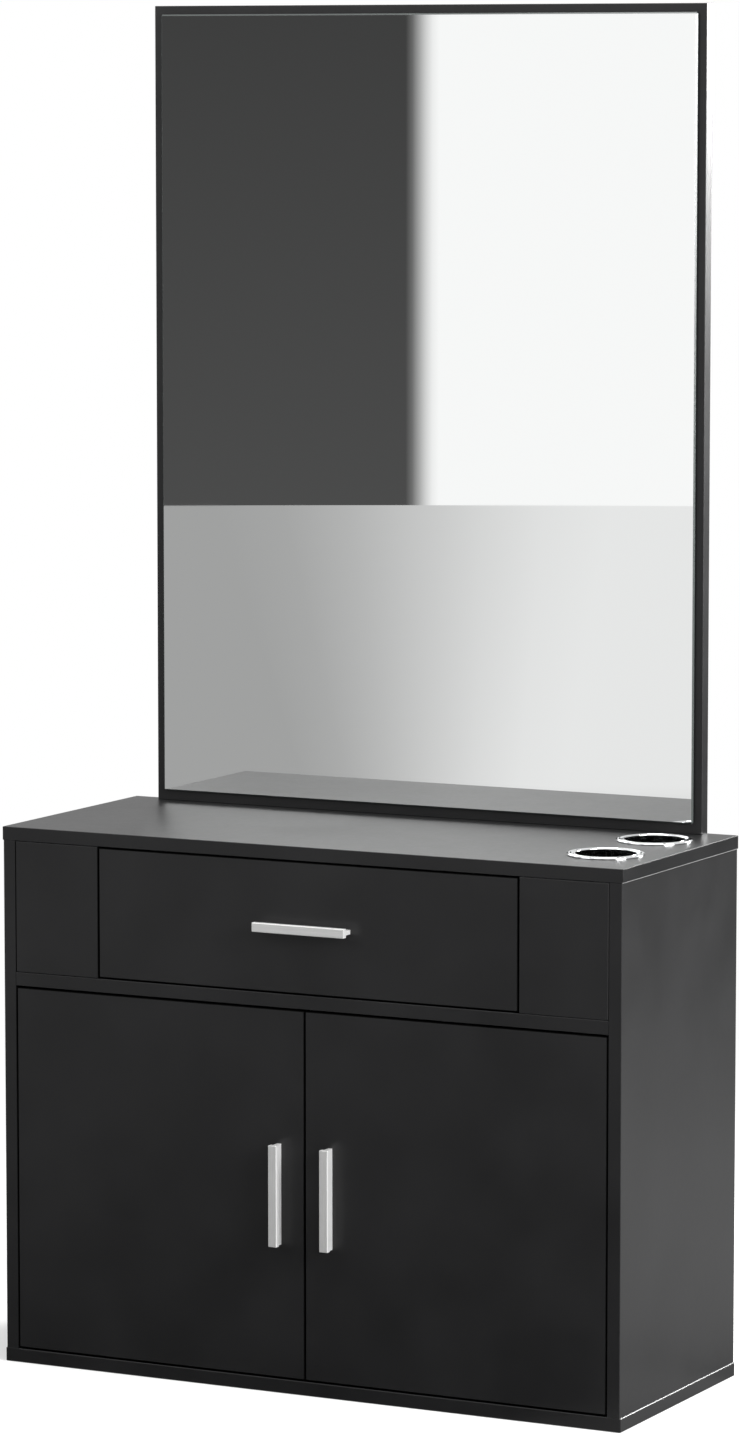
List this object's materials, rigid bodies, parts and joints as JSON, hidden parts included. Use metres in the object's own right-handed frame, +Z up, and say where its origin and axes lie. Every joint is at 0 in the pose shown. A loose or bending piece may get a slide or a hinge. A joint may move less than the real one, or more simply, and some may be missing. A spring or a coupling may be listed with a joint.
{
  "type": "wall-mounted styling station",
  "caption": "Wall-hung black cabinet with an inset drawer over inset doors, bar handles, appliance rings let into the top and a tall mirror on a backboard.",
  "frame": {"origin": "centre of the upper wall rail's back face, in the wall plane, midway between the side panels", "axes": "+X to the right of someone facing the mirror, +Y into the wall, +Z up; the front faces -Y"},
  "size_m": [0.9, 0.38, 1.795],
  "materials": {
    "carcass_board": "black melamine-faced board, satin",
    "worktop_board": "black melamine-faced board, satin with a soft sheen",
    "front_board": "black melamine-faced board, satin, edge-banded",
    "drawer_board": "black melamine-faced board, satin",
    "mirror_backboard": "black melamine-faced board, satin, edge-banded",
    "mirror_glass": "silvered glass with ground edges",
    "hardboard": "black-faced hardboard",
    "handle_aluminium": "brushed and clear anodised",
    "ring_chrome": "polished chrome",
    "hinge_nickel": "nickel-plated steel",
    "slide_zinc": "zinc-plated steel",
    "plate_steel": "zinc-plated steel",
    "catch_plastic": "moulded black plastic"
  },
  "bodies": {
    "cabinet": {"bottom_panel": "carcass_board", "middle_shelf": "carcass_board", "left_side_panel": "carcass_board", "right_side_panel": "carcass_board", "left_partition": "carcass_board", "right_partition": "carcass_board", "wall_rail_upper": "carcass_board", "wall_rail_lower": "carcass_board", "cupboard_shelf": "carcass_board", "top_panel": "worktop_board", "left_front_filler": "front_board", "right_front_filler": "front_board", "mirror_board": "mirror_backboard", "mirror_glass": "mirror_glass", "back_panel": "hardboard", "front_holder_ring": "ring_chrome", "rear_holder_ring": "ring_chrome", "mirror_plate_left": "plate_steel", "mirror_plate_right": "plate_steel", "magnetic_catch": "catch_plastic", "shelf_pin_left_front": "hinge_nickel", "shelf_pin_left_rear": "hinge_nickel", "left_slide_cabinet_rail": "slide_zinc", "left_lower_hinge_arm": "hinge_nickel", "left_lower_hinge_plate": "hinge_nickel", "left_upper_hinge_arm": "hinge_nickel", "left_upper_hinge_plate": "hinge_nickel", "shelf_pin_right_front": "hinge_nickel", "shelf_pin_right_rear": "hinge_nickel", "right_slide_cabinet_rail": "slide_zinc", "right_lower_hinge_arm": "hinge_nickel", "right_lower_hinge_plate": "hinge_nickel", "right_upper_hinge_arm": "hinge_nickel", "right_upper_hinge_plate": "hinge_nickel"},
    "drawer": {"drawer_front": "front_board", "drawer_back": "drawer_board", "drawer_bottom": "hardboard", "drawer_left_side": "drawer_board", "drawer_right_side": "drawer_board", "drawer_handle": "handle_aluminium", "left_slide_drawer_rail": "slide_zinc", "right_slide_drawer_rail": "slide_zinc"},
    "slide_middle": {"left_slide_middle_rail": "slide_zinc", "right_slide_middle_rail": "slide_zinc"},
    "left_door": {"left_door": "front_board", "left_door_handle": "handle_aluminium", "left_door_strike": "plate_steel", "left_lower_hinge_cup": "hinge_nickel", "left_lower_hinge_pin": "hinge_nickel", "left_upper_hinge_cup": "hinge_nickel", "left_upper_hinge_pin": "hinge_nickel"},
    "right_door": {"right_door": "front_board", "right_door_handle": "handle_aluminium", "right_door_strike": "plate_steel", "right_lower_hinge_cup": "hinge_nickel", "right_lower_hinge_pin": "hinge_nickel", "right_upper_hinge_cup": "hinge_nickel", "right_upper_hinge_pin": "hinge_nickel"}
  },
  "joints": [
    {"name": "drawer_slide", "type": "slide", "parent": "cabinet", "child": "drawer", "axis": [0, -1, 0], "range_m": [0, 0.28]},
    {"name": "slide_middle_travel", "type": "slide", "parent": "cabinet", "child": "slide_middle", "axis": [0, -1, 0], "range_m": [0, 0.14]},
    {"name": "left_door_hinge", "type": "hinge", "parent": "cabinet", "child": "left_door", "pos_m": [-0.4065, -0.351, -0.3875], "axis": [0, 0, -1], "range_deg": [0, 95]},
    {"name": "right_door_hinge", "type": "hinge", "parent": "cabinet", "child": "right_door", "pos_m": [0.4065, -0.351, -0.3875], "axis": [0, 0, 1], "range_deg": [0, 95]}
  ],
  "couplings": [
    {"joint": "slide_middle_travel", "follows": "drawer_slide", "ratio": 0.5}
  ]
}
